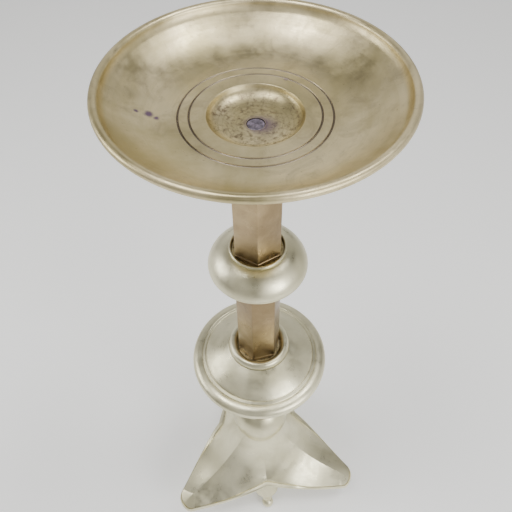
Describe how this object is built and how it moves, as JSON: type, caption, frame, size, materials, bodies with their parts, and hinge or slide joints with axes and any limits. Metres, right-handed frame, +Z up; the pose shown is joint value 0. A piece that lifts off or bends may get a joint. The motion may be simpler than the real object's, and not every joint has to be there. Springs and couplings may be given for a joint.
{
  "type": "altar candlestick",
  "caption": "Tall altar candlestick: dished drip pan with candle recess, hexagonal stem with a small and a large turned knop, ball, and lobed base on peg feet.",
  "frame": {"origin": "middle of the candle seat: the flush end of the tie rod in the flat floor of the pan's recess, on the candlestick's axis", "axes": "+Z up along the candlestick's axis, out of the candle seat; +Y towards one lobe of the base, the others at 210 and 330 degrees from +X"},
  "size_m": [0.2432, 0.2372, 0.665],
  "materials": {
    "aged_brass": "worn satin, olive patina, turning marks",
    "pale_brass": "pale satin, lightly tarnished",
    "brown_bronze": "browned, semi-polished",
    "dark_iron": "dark, oxidised"
  },
  "bodies": {
    "root": {"drip_pan": "aged_brass", "pan_collar": "pale_brass", "upper_stem": "brown_bronze", "upper_stem_end_plate": "brown_bronze", "upper_knop_top": "pale_brass", "upper_knop_bottom": "pale_brass", "upper_knop_core": "aged_brass", "middle_stem": "brown_bronze", "middle_stem_end_plate": "brown_bronze", "lower_knop_collar": "pale_brass", "lower_knop_top": "pale_brass", "lower_knop_bowl": "pale_brass", "lower_knop_core": "aged_brass", "lower_stem": "brown_bronze", "lower_stem_end_plate": "brown_bronze", "base_ball": "pale_brass", "base_casting": "pale_brass", "foot_1": "pale_brass", "foot_2": "pale_brass", "foot_3": "pale_brass", "tie_rod": "dark_iron", "tie_rod_washer": "dark_iron", "tie_rod_nut": "dark_iron"}
  },
  "joints": []
}
